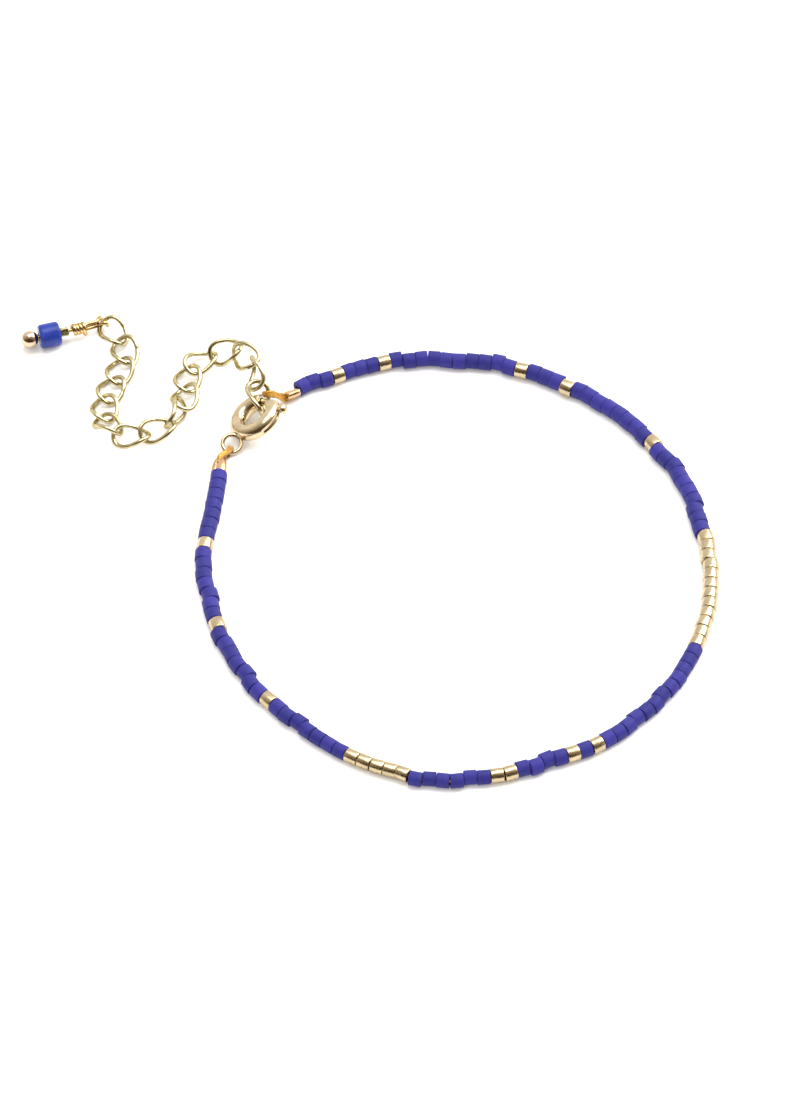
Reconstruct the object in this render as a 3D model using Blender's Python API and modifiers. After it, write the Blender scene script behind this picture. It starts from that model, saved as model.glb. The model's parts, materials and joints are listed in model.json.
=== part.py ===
"""A beaded bracelet with a spring ring clasp, an extension chain and a wire-wrapped drop.

It lies fastened on a table: +Z is up, +X points from the drop to the far side of the loop.
"""

import math

import bmesh
import bpy
import numpy as np
from mathutils import Matrix, Vector

MM = 0.001

# A path runs straight on this far past each of its ends
PATH_LEAD = 3.0 * MM

# Strand: cylinder beads on one beading wire
BEAD_RADIUS = 0.9 * MM
BEAD_LENGTH = 1.32 * MM
BEAD_GAP = 0.12 * MM
BEAD_EDGE = 0.06 * MM
BEAD_SIDES = 10
BORE_RADIUS = 0.31 * MM
WIRE_RADIUS = 0.19 * MM
# Beads in order from the clasp's end to the chain's end
BEAD_RUNS = (
    ("blue", 7), ("gold", 1), ("blue", 7), ("gold", 1), ("blue", 7), ("gold", 1),
    ("blue", 7), ("gold", 5), ("blue", 6), ("gold", 2), ("blue", 4), ("gold", 1),
    ("blue", 1), ("gold", 1), ("blue", 12), ("gold", 12), ("blue", 10), ("gold", 1),
    ("blue", 8), ("gold", 1), ("blue", 3), ("gold", 1), ("blue", 10), ("gold", 1),
    ("blue", 3), ("gold", 1), ("blue", 3),
)
# How far beads lie along the wire past an even spacing, in millimetres, by their place in order
BEAD_DRIFT = (
    (0, 0.60), (7, 0.67), (15, 0.89), (23, 1.36), (33, 1.69), (43, 1.56), (63, 1.08),
    (74, 0.64), (85, 0.20), (94, 0.24), (109, 0.28), (116, 0.0),
)
# The strand as it lies, in millimetres, chosen by hand from the clasp's end round to the chain's
STRAND_ROUTE = (
    (-16.0, 10.8), (-16.6, 4.0), (-17.2, -2.7), (-16.3, -9.4), (-14.1, -15.8), (-10.7, -21.5),
    (-6.1, -26.4), (-0.7, -30.4), (5.5, -33.0), (12.2, -33.3), (18.6, -31.3), (24.8, -28.7),
    (30.0, -24.3), (33.9, -18.9), (36.5, -12.7), (37.8, -6.1), (37.6, 0.6), (36.1, 7.2),
    (33.2, 13.2), (29.2, 18.6), (24.1, 23.0), (18.0, 25.8), (11.6, 27.7), (5.0, 27.9),
    (-1.5, 26.1), (-7.3, 22.8),
)

# Crimps: flattened tubes that hold the wire's doubled end, which hooks round the next piece
CRIMP_LENGTH = {"clasp": 2.2 * MM, "chain": 1.6 * MM}
CRIMP_WIDTH = 1.7 * MM
CRIMP_THICKNESS = 1.0 * MM
CRIMP_SIDES = 12
CRIMP_ROLL = {"clasp": 0.0, "chain": 50.0}
# The room round the two wires in a crimp's bore, across and through it, in clearances
CRIMP_BORE_ROOM = (2.5, 1.4)
WIRE_OVERLAP = 0.3 * MM
WIRE_LEAD = 0.25 * MM
HOOK_TURNS = (70.0, 125.0, 180.0, 235.0, 290.0)
CLEARANCE = 0.12 * MM

# Extension chain: oval links twisted to lie flat
LINK_COUNT = 16
LINK_HALF_LENGTH = 2.0 * MM
LINK_HALF_WIDTH = 1.4 * MM
LINK_WIRE_RADIUS = 0.25 * MM
LINK_TWIST = -0.45 * MM
LINK_SLACK = 0.45 * MM
LINK_SEGMENTS = 12
# The chain as it lies, a row for each bend: x, y and height of the links' centres in
# millimetres, and how far a link there is rolled about its length, in degrees
CHAIN_ROUTE = (
    (-11.68, 20.18, 2.65, -140.7),
    (-11.95, 21.52, 3.13, -97.5),
    (-12.59, 24.68, 3.53, -49.4),
    (-14.52, 27.08, 2.78, -39.8),
    (-15.87, 27.73, 2.07, -18.7),
    (-17.98, 27.53, 1.19, 12.6),
    (-19.00, 26.52, 1.22, -29.9),
    (-19.77, 24.71, 1.11, 0.8),
    (-20.05, 21.18, 1.41, 14.6),
    (-21.37, 17.72, 1.83, 128.7),
    (-21.18, 16.81, 1.94, 168.5),
    (-25.76, 15.69, 1.17, 176.7),
    (-27.99, 16.73, 1.43, 199.5),
    (-28.78, 18.52, 0.98, 179.3),
    (-28.85, 21.47, 0.76, 181.6),
    (-27.58, 25.62, 0.74, 178.4),
    (-26.96, 29.08, 0.83, 180.0),
    (-28.56, 32.18, 1.15, 180.8),
)
# Where the wire loop catches the first link, and the drop the last: degrees round the link
CHAIN_CATCH_TURN = 74.0
DROP_CATCH_TURN = -38.0

# Clasp: a hollow sprung ring with a bolt that slides inside it, and a soldered ear
CLASP_CENTRE = (-12.08 * MM, 17.57 * MM, 2.20 * MM)
CLASP_NORMAL = (-0.472, 0.020, 0.880)
CLASP_OPENING_DIRECTION = (0.640, 0.750, 0.326)
CLASP_RADIUS = 2.15 * MM
CLASP_TUBE_RADIUS = 0.92 * MM
CLASP_BORE_RADIUS = 0.5 * MM
CLASP_SIDES_RESOLUTION = 3
OPENING_HALF_ANGLE = 22.0
BOLT_CLEARANCE = 0.12 * MM
BOLT_INSERTION = 6.0
KNOB_ANGLE = 52.0
KNOB_RADIUS = 0.45 * MM
KNOB_STEM_RADIUS = 0.17 * MM
BOLT_TAIL = 13.0
EAR_RADIUS = 1.05 * MM
EAR_WIRE_RADIUS = 0.25 * MM
EAR_ANGLE = 178.0
EAR_TWIST = 40.0
EAR_CATCH_TURN = -36.0
SOLDER_OVERLAP = 0.35 * MM

# Drop: a ball-headed pin through a large bead, wrapped below the loop that holds the chain
DROP_YAW = 17.0
DROP_WIRE_RADIUS = 0.2 * MM
DROP_BALL_RADIUS = 1.0 * MM
DROP_BEAD_RADIUS = 1.4 * MM
DROP_BEAD_LENGTH = 2.4 * MM
DROP_BEAD_EDGE = 0.3 * MM
DROP_BEAD_SIDES = 16
DROP_TUBE_LENGTH = 0.8 * MM
DROP_TUBE_RADIUS = 0.55 * MM
DROP_COIL_TURNS = 3.5
DROP_COIL_SEGMENTS = 8
DROP_COIL_PITCH = 0.44 * MM
DROP_COIL_RADIUS = 0.35 * MM
DROP_NECK = 1.7 * MM
DROP_PIN_PAST_NECK = 0.26 * MM
DROP_GAP = 0.1 * MM

MATERIALS = {
    "bead_blue": ((0.056, 0.050, 0.40), 0.55, 0.0),
    "bead_gold": ((0.80, 0.60, 0.30), 0.25, 1.0),
    "chain_gold": ((0.83, 0.73, 0.42), 0.22, 1.0),
    "clasp_gold": ((0.80, 0.58, 0.32), 0.2, 1.0),
    "crimp_gold": ((0.76, 0.47, 0.27), 0.25, 1.0),
    "wire_amber": ((0.72, 0.34, 0.06), 0.3, 1.0),
    "drop_blue": ((0.035, 0.045, 0.36), 0.15, 0.0),
}


def material(name):
    """The named Principled material, made once."""
    found = bpy.data.materials.get(name)
    if found:
        return found
    colour, roughness, metallic = MATERIALS[name]
    made = bpy.data.materials.new(name)
    made.use_nodes = True
    shader = made.node_tree.nodes["Principled BSDF"]
    shader.inputs["Base Color"].default_value = (*colour, 1.0)
    shader.inputs["Roughness"].default_value = roughness
    shader.inputs["Metallic"].default_value = metallic
    return made


def clear_scene():
    """Removes the startup objects."""
    for obj in list(bpy.data.objects):
        bpy.data.objects.remove(obj)


def collection(name):
    """A new collection of this name in the scene."""
    made = bpy.data.collections.new(name)
    bpy.context.scene.collection.children.link(made)
    return made


def place(obj, parent, into, material_name=None):
    """Links an object into a collection under a parent, and gives it its material."""
    into.objects.link(obj)
    obj.parent = parent
    if material_name:
        obj.data.materials.append(material(material_name))
        obj.data.shade_smooth()
        obj.data.set_sharp_from_angle(angle=math.radians(40.0))
    return obj


def helper(obj, parent):
    """Puts a cutter or a joined piece among the hidden helpers."""
    place(obj, parent, bpy.data.collections["cutters"])
    obj.hide_render = True
    obj.display_type = "WIRE"
    return obj


def combine(obj, other, operation):
    """Cuts or joins another object with a live Boolean."""
    boolean = obj.modifiers.new(other.name, "BOOLEAN")
    boolean.operation = operation
    boolean.object = other


def tube(name, points, radius, resolution, cyclic=False, shares=None):
    """A mesh object: a wire of this radius through the points, or of a share of it at each."""
    curve = bpy.data.curves.new(name, "CURVE")
    curve.dimensions = "3D"
    curve.twist_mode = "Z_UP"
    curve.bevel_depth = radius
    curve.bevel_resolution = resolution
    curve.use_fill_caps = True
    spline = curve.splines.new("POLY")
    spline.points.add(len(points) - 1)
    spline.use_cyclic_u = cyclic
    for index, point in enumerate(points):
        spline.points[index].co = (*point, 1.0)
        if shares:
            spline.points[index].radius = shares[index]
    guide = bpy.data.objects.new(name, curve)
    bpy.context.scene.collection.objects.link(guide)
    graph = bpy.context.evaluated_depsgraph_get()
    mesh = bpy.data.meshes.new_from_object(guide.evaluated_get(graph))
    bpy.data.objects.remove(guide)
    weld(mesh)
    return bpy.data.objects.new(name, mesh)


def weld(mesh):
    """Joins a curve's loose caps to its wall."""
    edit = bmesh.new()
    edit.from_mesh(mesh)
    bmesh.ops.remove_doubles(edit, verts=edit.verts, dist=1e-6)
    bmesh.ops.recalc_face_normals(edit, faces=edit.faces)
    edit.to_mesh(mesh)
    edit.free()


def turned(name, profile, sides):
    """A closed profile of (radius, height) points turned about Z."""
    mesh = bpy.data.meshes.new(name)
    corners = [(radius, 0.0, height) for radius, height in profile]
    edges = [(index, (index + 1) % len(corners)) for index in range(len(corners))]
    mesh.from_pydata(corners, edges, [])
    obj = bpy.data.objects.new(name, mesh)
    screw = obj.modifiers.new("turn", "SCREW")
    screw.steps = sides
    screw.render_steps = sides
    screw.use_merge_vertices = True
    screw.merge_threshold = 1e-6
    return obj


def smooth_path(points, steps=24):
    """A dense Catmull-Rom curve through the points, with their extra columns carried along."""
    rows = np.array(points, dtype=float)
    rows = np.vstack([2 * rows[0] - rows[1], rows, 2 * rows[-1] - rows[-2]])
    share = np.linspace(0.0, 1.0, steps, endpoint=False)[:, None]
    spans = []
    for before, start, end, after in zip(rows, rows[1:], rows[2:], rows[3:]):
        bend = 2 * before - 5 * start + 4 * end - after
        turn = 3 * (start - end) + after - before
        spans.append(start + 0.5 * share * ((end - before) + share * (bend + share * turn)))
    return np.vstack(spans + [rows[-2:-1]])


def along(path, distances):
    """The path's rows at these distances along it, measured in its first three columns."""
    steps = np.linalg.norm(np.diff(path[:, :3], axis=0), axis=1)
    reach = np.concatenate([[0.0], np.cumsum(steps)])
    columns = [np.interp(distances, reach, column) for column in path.T]
    return np.stack(columns, axis=-1), reach[-1]


def direction(path, distance, step=0.05 * MM):
    """The unit direction of the path at a distance."""
    ends, _ = along(path, np.array([distance - step, distance + step]))
    return Vector(ends[1][:3] - ends[0][:3]).normalized()


def upright(forward):
    """A rotation whose Z runs along forward and whose Y is as near to up as it can be."""
    side = Vector((0.0, 0.0, 1.0)).cross(forward).normalized()
    up = forward.cross(side)
    return Matrix((side, up, forward)).transposed()


def frame_at(origin, rotation):
    """The 4 by 4 placement of an origin and a 3 by 3 rotation."""
    return Matrix.Translation(origin) @ rotation.to_4x4()


def bead_kinds():
    """Each bead's colour, in order."""
    return [kind for kind, count in BEAD_RUNS for _ in range(count)]


def bead_pitch():
    """From one bead's middle to the next's."""
    return BEAD_LENGTH + BEAD_GAP


def strand_height():
    """The axis height at which a bead's lowest flat lies on the table."""
    return BEAD_RADIUS * math.cos(math.pi / BEAD_SIDES)


def with_leads(path):
    """The path with its straight leads."""
    ends = []
    for end, inner in ((path[0], path[1]), (path[-1], path[-2])):
        way = end - inner
        ends.append(end + way / np.linalg.norm(way[:3]) * PATH_LEAD)
    return np.vstack([ends[0], path, ends[1]])


def strand_path():
    """The strand's axis, resized about its clasp end to the length of its beads."""
    flat = smooth_path([(x * MM, y * MM, 0.0) for x, y in STRAND_ROUTE])
    _, length = along(flat, np.array([0.0]))
    scaled = flat[0] + (flat - flat[0]) * (len(bead_kinds()) * bead_pitch() / length)
    scaled[:, 2] = strand_height()
    return with_leads(scaled)


def bead_centres():
    """Each bead's distance along the strand's path."""
    order = np.arange(len(bead_kinds()))
    drift = np.interp(order, *np.transpose(BEAD_DRIFT)) * MM
    return PATH_LEAD + (order + 0.5) * bead_pitch() + drift


def strand_ends():
    """The distances along the path at which the row of beads starts and ends."""
    centres = bead_centres()
    return centres[0] - bead_pitch() / 2, centres[-1] + bead_pitch() / 2


def build_strand(root, parts):
    """The blue beads and the wire that runs through every bead, as one body."""
    path = strand_path()
    thin = WIRE_RADIUS / BEAD_RADIUS
    wire_end = WIRE_OVERLAP + BEAD_GAP / 2
    start, end = strand_ends()
    points = [along(path, np.array([start - wire_end]))[0][0]]
    shares = [thin]
    for kind, centre in zip(bead_kinds(), bead_centres()):
        middle = Vector(along(path, np.array([centre]))[0][0])
        heading = direction(path, centre)
        half = BEAD_LENGTH / 2
        if kind == "gold":
            points.append(middle)
            shares.append(thin)
            continue
        for offset, share in (
            (-half, thin), (BEAD_EDGE - half, 1.0), (half - BEAD_EDGE, 1.0), (half, thin),
        ):
            points.append(middle + heading * offset)
            shares.append(share)
    points.append(along(path, np.array([end + WIRE_OVERLAP]))[0][0])
    shares.append(thin)
    resolution = BEAD_SIDES // 2 - 2
    strand = tube("bead_strand", points, BEAD_RADIUS, resolution, shares=shares)
    place(strand, root, parts, "bead_blue")


def build_gold_beads(root, parts):
    """The drilled gold beads, each with one flat down."""
    half = BEAD_LENGTH / 2
    profile = (
        (BORE_RADIUS, half), (BEAD_RADIUS, half - BEAD_EDGE),
        (BEAD_RADIUS, BEAD_EDGE - half), (BORE_RADIUS, -half),
    )
    path = strand_path()
    number = 0
    for kind, centre in zip(bead_kinds(), bead_centres()):
        if kind != "gold":
            continue
        number += 1
        bead = turned(f"gold_bead_{number:02d}", profile, BEAD_SIDES)
        middle = Vector(along(path, np.array([centre]))[0][0])
        bead.matrix_local = frame_at(middle, upright(direction(path, centre)))
        place(bead, root, parts, "bead_gold")


def crimp_place(side):
    """A crimp's centre, its direction away from the strand, and its wide direction."""
    path = strand_path()
    offset = BEAD_GAP / 2 + CRIMP_LENGTH[side] / 2
    end = strand_ends()[0 if side == "clasp" else 1]
    away = direction(path, end)
    if side == "clasp":
        away = -away
    start = Vector(along(path, np.array([end]))[0][0])
    wide = upright(away).col[0].copy()
    wide.rotate(Matrix.Rotation(math.radians(CRIMP_ROLL[side]), 3, away))
    return start + away * offset, away, wide


def oval_tube(name, half_wide, half_thick, length):
    """A closed oval cylinder along Z."""
    edit = bmesh.new()
    bmesh.ops.create_cone(
        edit, cap_ends=True, segments=CRIMP_SIDES, radius1=1.0, radius2=1.0, depth=length
    )
    bmesh.ops.scale(edit, vec=(half_wide, half_thick, 1.0), verts=edit.verts)
    mesh = bpy.data.meshes.new(name)
    edit.to_mesh(mesh)
    edit.free()
    return bpy.data.objects.new(name, mesh)


def build_crimp(side, root, parts):
    """A flattened tube with room for the two wires side by side."""
    centre, away, wide = crimp_place(side)
    rotation = Matrix((wide, away.cross(wide), away)).transposed()
    length = CRIMP_LENGTH[side]
    bore_wide = 2 * WIRE_RADIUS + CRIMP_BORE_ROOM[0] * CLEARANCE
    bore_thick = WIRE_RADIUS + CRIMP_BORE_ROOM[1] * CLEARANCE
    crimp = oval_tube(f"crimp_{side}", CRIMP_WIDTH / 2, CRIMP_THICKNESS / 2, length)
    crimp.matrix_local = frame_at(centre, rotation)
    bore = oval_tube(f"crimp_bore_{side}", bore_wide, bore_thick, length + 2 * CLEARANCE)
    bore.matrix_local = frame_at(centre, rotation)
    place(crimp, root, parts, "crimp_gold")
    combine(crimp, helper(bore, root), "DIFFERENCE")


def hook(start, away, side, catch, catch_direction, catch_radius, wire_radius):
    """A wire's way from one side of a start, round a caught wire and back to the other."""
    run = catch_direction.normalized()
    back = start - catch
    back = (back - run * back.dot(run)).normalized()
    across = run.cross(back)
    if across.dot(side) < 0:
        across = -across
    reach = catch_radius + wire_radius + CLEARANCE
    reach /= math.cos(math.radians(HOOK_TURNS[1] - HOOK_TURNS[0]) / 4)
    lead = away * WIRE_LEAD
    corners = [start + side, start + side + lead]
    corners += [
        catch + (back * math.cos(turn) + across * math.sin(turn)) * reach
        for turn in np.radians(HOOK_TURNS)
    ]
    corners += [start - side + lead, start - side]
    return corners


def build_wire_loop(side, catch, catch_direction, catch_radius, root, parts):
    """The doubled wire that leaves a crimp and passes round what it holds."""
    centre, away, wide = crimp_place(side)
    legs = wide * (WIRE_RADIUS + CLEARANCE / 2)
    mouth = centre + away * (CRIMP_LENGTH[side] / 2)
    corners = hook(mouth, away, legs, catch, catch_direction, catch_radius, WIRE_RADIUS)
    inside = centre - away * (CRIMP_LENGTH[side] / 2 - WIRE_OVERLAP - CLEARANCE)
    corners = [inside + legs] + corners + [inside - legs]
    smooth = smooth_path([tuple(corner) for corner in corners], steps=2)
    loop = tube(f"wire_loop_{side}", [tuple(row) for row in smooth], WIRE_RADIUS, 1)
    place(loop, root, parts, "wire_amber")


def link_pitch():
    """From one link's middle to the next's, part of the way to a taut chain."""
    return 2 * (LINK_HALF_LENGTH - LINK_WIRE_RADIUS) - LINK_SLACK


def chord_stops(path, chord, count):
    """Distances along a path of points whose neighbours are one chord apart."""
    reach = np.concatenate([[0.0], np.cumsum(np.linalg.norm(np.diff(path[:, :3], axis=0), axis=1))])
    stops = [PATH_LEAD]
    while len(stops) < count:
        here = along(path, np.array(stops[-1:]))[0][0][:3]
        spread = np.linalg.norm(path[:, :3] - here, axis=1)
        beyond = np.flatnonzero((reach > stops[-1]) & (spread >= chord))[0]
        pair = slice(beyond - 1, beyond + 1)
        stops.append(float(np.interp(chord, spread[pair], reach[pair])))
    return stops


def link_places():
    """Each link's centre and its rotation: X along the link, Z square to its flat."""
    route = [(x * MM, y * MM, z * MM, roll) for x, y, z, roll in CHAIN_ROUTE]
    path = with_leads(smooth_path(route))
    places = []
    for distance in chord_stops(path, link_pitch(), LINK_COUNT):
        row = along(path, np.array([distance]))[0][0]
        heading = direction(path, distance)
        side = Vector((0.0, 0.0, 1.0)).cross(heading).normalized()
        side.rotate(Matrix.Rotation(math.radians(row[3]), 3, heading))
        rotation = Matrix((heading, side, heading.cross(side))).transposed()
        places.append((Vector(row[:3]), rotation))
    return places


def link_point(link, turn):
    """A point of a placed link's centreline, and the centreline's direction there."""
    centre, rotation = link
    here = Vector((
        LINK_HALF_LENGTH * math.cos(turn),
        LINK_HALF_WIDTH * math.sin(turn),
        LINK_TWIST * math.sin(2 * turn),
    ))
    way = Vector((
        -LINK_HALF_LENGTH * math.sin(turn),
        LINK_HALF_WIDTH * math.cos(turn),
        2 * LINK_TWIST * math.cos(2 * turn),
    ))
    return centre + rotation @ here, (rotation @ way).normalized()


def build_chain(root, parts):
    """Twisted oval links, each through the next."""
    turns = [2 * math.pi * index / LINK_SEGMENTS for index in range(LINK_SEGMENTS)]
    level = (Vector(), Matrix.Identity(3))
    points = [tuple(link_point(level, turn)[0]) for turn in turns]
    for number, (centre, rotation) in enumerate(link_places(), start=1):
        link = tube(f"chain_link_{number:02d}", points, LINK_WIRE_RADIUS, 1, cyclic=True)
        link.matrix_local = frame_at(centre, rotation)
        place(link, root, parts, "chain_gold")


def arc(radius, first, last, step=14.0):
    """Points of an arc in the XY plane, between two angles in degrees."""
    count = max(2, math.ceil(abs(last - first) / step) + 1)
    turns = np.radians(np.linspace(first, last, count))
    return [(radius * math.cos(turn), radius * math.sin(turn), 0.0) for turn in turns]


def clasp_rotation():
    """The clasp's own axes: X to the middle of its opening, Z along the ring's axis."""
    normal = Vector(CLASP_NORMAL).normalized()
    toward = Vector(CLASP_OPENING_DIRECTION)
    toward = (toward - normal * toward.dot(normal)).normalized()
    return Matrix((toward, normal.cross(toward), normal)).transposed()


def ear_place():
    """The ear's centre, its direction from the ring's axis and its own axis, in the clasp's axes."""
    turn = math.radians(EAR_ANGLE)
    out = Vector((math.cos(turn), math.sin(turn), 0.0))
    reach = CLASP_RADIUS + CLASP_TUBE_RADIUS + EAR_RADIUS + EAR_WIRE_RADIUS - SOLDER_OVERLAP
    axis = Vector((0.0, 0.0, 1.0))
    axis.rotate(Matrix.Rotation(-math.radians(EAR_TWIST), 3, out))
    return out * reach, out, axis


def bolt_travel():
    """How far the bolt turns to clear the opening, in degrees."""
    return 2 * OPENING_HALF_ANGLE + BOLT_INSERTION


def build_clasp_ring(frame, parts):
    """The hollow ring with its opening, the slot for the knob and the soldered ear."""
    gap = OPENING_HALF_ANGLE
    resolution = CLASP_SIDES_RESOLUTION
    ring = tube(
        "clasp_ring", arc(CLASP_RADIUS, gap, 360.0 - gap), CLASP_TUBE_RADIUS, resolution
    )
    place(ring, frame, parts, "clasp_gold")
    tail = KNOB_ANGLE + BOLT_TAIL + bolt_travel() + BOLT_INSERTION
    for name, first, last in (
        ("bolt_bore", -tail, -gap / 2), ("catch_bore", gap / 2, gap + 2 * BOLT_INSERTION),
    ):
        bore = tube(name, arc(CLASP_RADIUS, first, last), CLASP_BORE_RADIUS, 2)
        combine(ring, helper(bore, frame), "DIFFERENCE")
    slot_radius = KNOB_STEM_RADIUS + 2 * BOLT_CLEARANCE
    play = math.degrees((slot_radius + BOLT_CLEARANCE) / CLASP_RADIUS)
    slot_at = CLASP_RADIUS + CLASP_TUBE_RADIUS - slot_radius / 2
    slot = tube(
        "knob_slot",
        arc(slot_at, -KNOB_ANGLE - bolt_travel() - play, play - KNOB_ANGLE),
        slot_radius, 1,
    )
    combine(ring, helper(slot, frame), "DIFFERENCE")
    centre, out, axis = ear_place()
    turns = np.radians(np.linspace(0.0, 360.0, 16, endpoint=False))
    across = axis.cross(out)
    points = [
        tuple(centre + (out * math.cos(turn) + across * math.sin(turn)) * EAR_RADIUS)
        for turn in turns
    ]
    ear = tube("clasp_ear", points, EAR_WIRE_RADIUS, 1, cyclic=True)
    combine(ring, helper(ear, frame), "UNION")


def build_clasp_bolt(frame, parts):
    """The curved bolt that closes the opening, with the knob that draws it back."""
    radius = CLASP_BORE_RADIUS - BOLT_CLEARANCE
    tip = OPENING_HALF_ANGLE + BOLT_INSERTION
    bolt = tube(
        "clasp_bolt", arc(CLASP_RADIUS, -KNOB_ANGLE - BOLT_TAIL, tip), radius, 2
    )
    place(bolt, frame, parts, "clasp_gold")
    turn = math.radians(-KNOB_ANGLE)
    out = Vector((math.cos(turn), math.sin(turn), 0.0))
    head_at = CLASP_RADIUS + CLASP_TUBE_RADIUS + BOLT_CLEARANCE + KNOB_RADIUS
    stem = tube(
        "knob_stem", [tuple(out * CLASP_RADIUS), tuple(out * head_at)], KNOB_STEM_RADIUS, 1
    )
    combine(bolt, helper(stem, frame), "UNION")
    combine(bolt, helper(ball("knob_head", out * head_at, KNOB_RADIUS, 12, 8), frame), "UNION")


def ball(name, centre, radius, segments, rings):
    """A sphere made as a mesh of its own."""
    edit = bmesh.new()
    bmesh.ops.create_uvsphere(edit, u_segments=segments, v_segments=rings, radius=radius)
    bmesh.ops.translate(edit, vec=centre, verts=edit.verts)
    mesh = bpy.data.meshes.new(name)
    edit.to_mesh(mesh)
    edit.free()
    return bpy.data.objects.new(name, mesh)


def build_clasp(root, parts):
    """The clasp's parts under one empty on the ring's axis."""
    frame = bpy.data.objects.new("clasp_axis", None)
    frame.matrix_local = frame_at(Vector(CLASP_CENTRE), clasp_rotation())
    place(frame, root, parts)
    build_clasp_ring(frame, parts)
    build_clasp_bolt(frame, parts)


def build_drop(root, parts):
    """The pin, its bead and its tube along one axis, hung from the last link."""
    catch, catch_direction = link_point(link_places()[-1], math.radians(DROP_CATCH_TURN))
    yaw = math.radians(DROP_YAW)
    toward = Vector((math.cos(yaw), math.sin(yaw), 0.0))
    neck = Vector((catch.x, catch.y, DROP_BEAD_RADIUS)) - toward * DROP_NECK
    coil_length = DROP_COIL_TURNS * DROP_COIL_PITCH
    coil_start = coil_length + DROP_WIRE_RADIUS
    tube_at = coil_start + DROP_GAP + DROP_WIRE_RADIUS + DROP_TUBE_LENGTH / 2
    bead_at = tube_at + DROP_TUBE_LENGTH / 2 + DROP_GAP + DROP_BEAD_LENGTH / 2
    ball_at = bead_at + DROP_BEAD_LENGTH / 2 + DROP_GAP + DROP_BALL_RADIUS

    pin_ends = [tuple(neck - toward * ball_at), tuple(neck + toward * DROP_PIN_PAST_NECK)]
    pin = tube("drop_pin", pin_ends, DROP_WIRE_RADIUS, 2)
    place(pin, root, parts, "clasp_gold")
    head = ball("drop_ball", neck - toward * ball_at, DROP_BALL_RADIUS, 12, 8)
    combine(pin, helper(head, root), "UNION")

    side = Vector((0.0, 0.0, 1.0)).cross(toward)
    up = Vector((0.0, 0.0, 1.0))
    coil_points = []
    for step in range(int(DROP_COIL_TURNS * DROP_COIL_SEGMENTS) + 1):
        turn = 2 * math.pi * step / DROP_COIL_SEGMENTS
        offset = side * math.cos(turn) + up * math.sin(turn)
        reach = coil_start - DROP_COIL_PITCH * step / DROP_COIL_SEGMENTS
        coil_points.append(tuple(neck - toward * reach + offset * DROP_COIL_RADIUS))
    coil = tube("drop_coil", coil_points, DROP_WIRE_RADIUS, 1)
    combine(pin, helper(coil, root), "UNION")

    corners = hook(
        neck, toward, up * DROP_WIRE_RADIUS, catch, catch_direction, LINK_WIRE_RADIUS,
        DROP_WIRE_RADIUS,
    )
    smooth = smooth_path([tuple(corner) for corner in corners], steps=2)
    loop = tube("drop_loop", [tuple(row) for row in smooth], DROP_WIRE_RADIUS, 1)
    combine(pin, helper(loop, root), "UNION")

    rotation = upright(toward)
    bore = DROP_WIRE_RADIUS + CLEARANCE
    half = DROP_BEAD_LENGTH / 2
    bead = turned("drop_bead", (
        (bore, half), (DROP_BEAD_RADIUS - DROP_BEAD_EDGE, half),
        (DROP_BEAD_RADIUS, half - DROP_BEAD_EDGE), (DROP_BEAD_RADIUS, DROP_BEAD_EDGE - half),
        (DROP_BEAD_RADIUS - DROP_BEAD_EDGE, -half), (bore, -half),
    ), DROP_BEAD_SIDES)
    bead.matrix_local = frame_at(neck - toward * bead_at, rotation)
    place(bead, root, parts, "drop_blue")
    half = DROP_TUBE_LENGTH / 2
    collar = turned("drop_tube", (
        (bore, half), (DROP_TUBE_RADIUS, half), (DROP_TUBE_RADIUS, -half), (bore, -half),
    ), BEAD_SIDES)
    collar.matrix_local = frame_at(neck - toward * tube_at, rotation)
    place(collar, root, parts, "clasp_gold")


def stand_on_origin(root, parts):
    """Moves the whole so that the middle of its underside is at the origin."""
    bpy.context.view_layer.update()
    graph = bpy.context.evaluated_depsgraph_get()
    low = Vector((math.inf,) * 3)
    high = -low
    for obj in parts.objects:
        if obj.type != "MESH":
            continue
        evaluated = obj.evaluated_get(graph)
        for vertex in evaluated.data.vertices:
            world = obj.matrix_world @ vertex.co
            low = Vector(map(min, low, world))
            high = Vector(map(max, high, world))
    root.location = (-(low.x + high.x) / 2, -(low.y + high.y) / 2, -low.z)
    bpy.context.view_layer.update()


def main():
    clear_scene()
    parts = collection("bracelet")
    collection("cutters")
    root = bpy.data.objects.new("bracelet_origin", None)
    place(root, None, parts)
    build_strand(root, parts)
    build_gold_beads(root, parts)
    build_crimp("clasp", root, parts)
    build_crimp("chain", root, parts)
    build_chain(root, parts)
    build_clasp(root, parts)
    clasp = frame_at(Vector(CLASP_CENTRE), clasp_rotation())
    centre, out, axis = ear_place()
    out.rotate(Matrix.Rotation(math.radians(EAR_CATCH_TURN), 3, axis))
    ear_catch = clasp @ (centre + out * EAR_RADIUS)
    ear_way = clasp.to_3x3() @ axis.cross(out)
    build_wire_loop("clasp", ear_catch, ear_way, EAR_WIRE_RADIUS, root, parts)
    link_catch, link_way = link_point(link_places()[0], math.radians(CHAIN_CATCH_TURN))
    build_wire_loop("chain", link_catch, link_way, LINK_WIRE_RADIUS, root, parts)
    build_drop(root, parts)
    stand_on_origin(root, parts)


main()
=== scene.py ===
"""Finish, light and camera for the beaded bracelet with its spring ring clasp, chain and drop.

All lengths are in metres unless a name says otherwise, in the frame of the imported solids.
"""

import json
import math

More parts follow.
